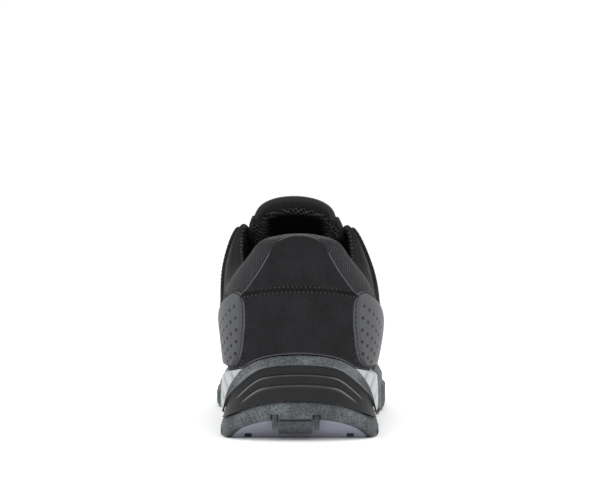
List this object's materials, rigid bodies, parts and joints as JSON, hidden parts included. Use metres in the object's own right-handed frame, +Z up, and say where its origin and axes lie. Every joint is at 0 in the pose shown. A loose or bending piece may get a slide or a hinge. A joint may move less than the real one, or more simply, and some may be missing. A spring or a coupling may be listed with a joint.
{
  "type": "safety sneaker",
  "caption": "Low-cut safety shoe for the right foot with a padded collar, laced throat, nubuck heel, moulded side panels, stepped heel cup and lugged sole",
  "frame": {"origin": "on the floor, under the middle of the shoe's bounding box", "axes": "+Y from heel to toe, +X to the outer side of the right foot, +Z up"},
  "size_m": [0.1086, 0.3034, 0.1305],
  "materials": {
    "mesh_textile": "woven mesh and knit, matt black",
    "nubuck": "sanded nubuck, black",
    "soft_tpu": "moulded soft plastic, dark grey",
    "outsole_rubber": "moulded rubber, dark grey",
    "heel_rubber": "moulded rubber, black",
    "midsole_foam": "moulded foam, light grey",
    "insole_foam": "textile covered foam, black",
    "lace_cord": "woven flat lace, black",
    "eyelet_metal": "lacquered metal, black"
  },
  "bodies": {
    "root": {"upper": "mesh_textile", "outsole": "outsole_rubber", "midsole": "midsole_foam", "insole": "insole_foam", "heel_cup": "heel_rubber", "tongue": "mesh_textile", "heel_counter": "nubuck", "heel_tab": "nubuck", "side_panel_lateral": "soft_tpu", "side_panel_medial": "soft_tpu", "eyestay_lateral": "nubuck", "eyestay_medial": "nubuck", "toe_cap": "nubuck", "lace": "lace_cord", "eyelet_lateral_1": "eyelet_metal", "eyelet_lateral_2": "eyelet_metal", "eyelet_lateral_3": "eyelet_metal", "eyelet_lateral_4": "eyelet_metal", "eyelet_lateral_5": "eyelet_metal", "eyelet_medial_1": "eyelet_metal", "eyelet_medial_2": "eyelet_metal", "eyelet_medial_3": "eyelet_metal", "eyelet_medial_4": "eyelet_metal", "eyelet_medial_5": "eyelet_metal"}
  },
  "joints": []
}
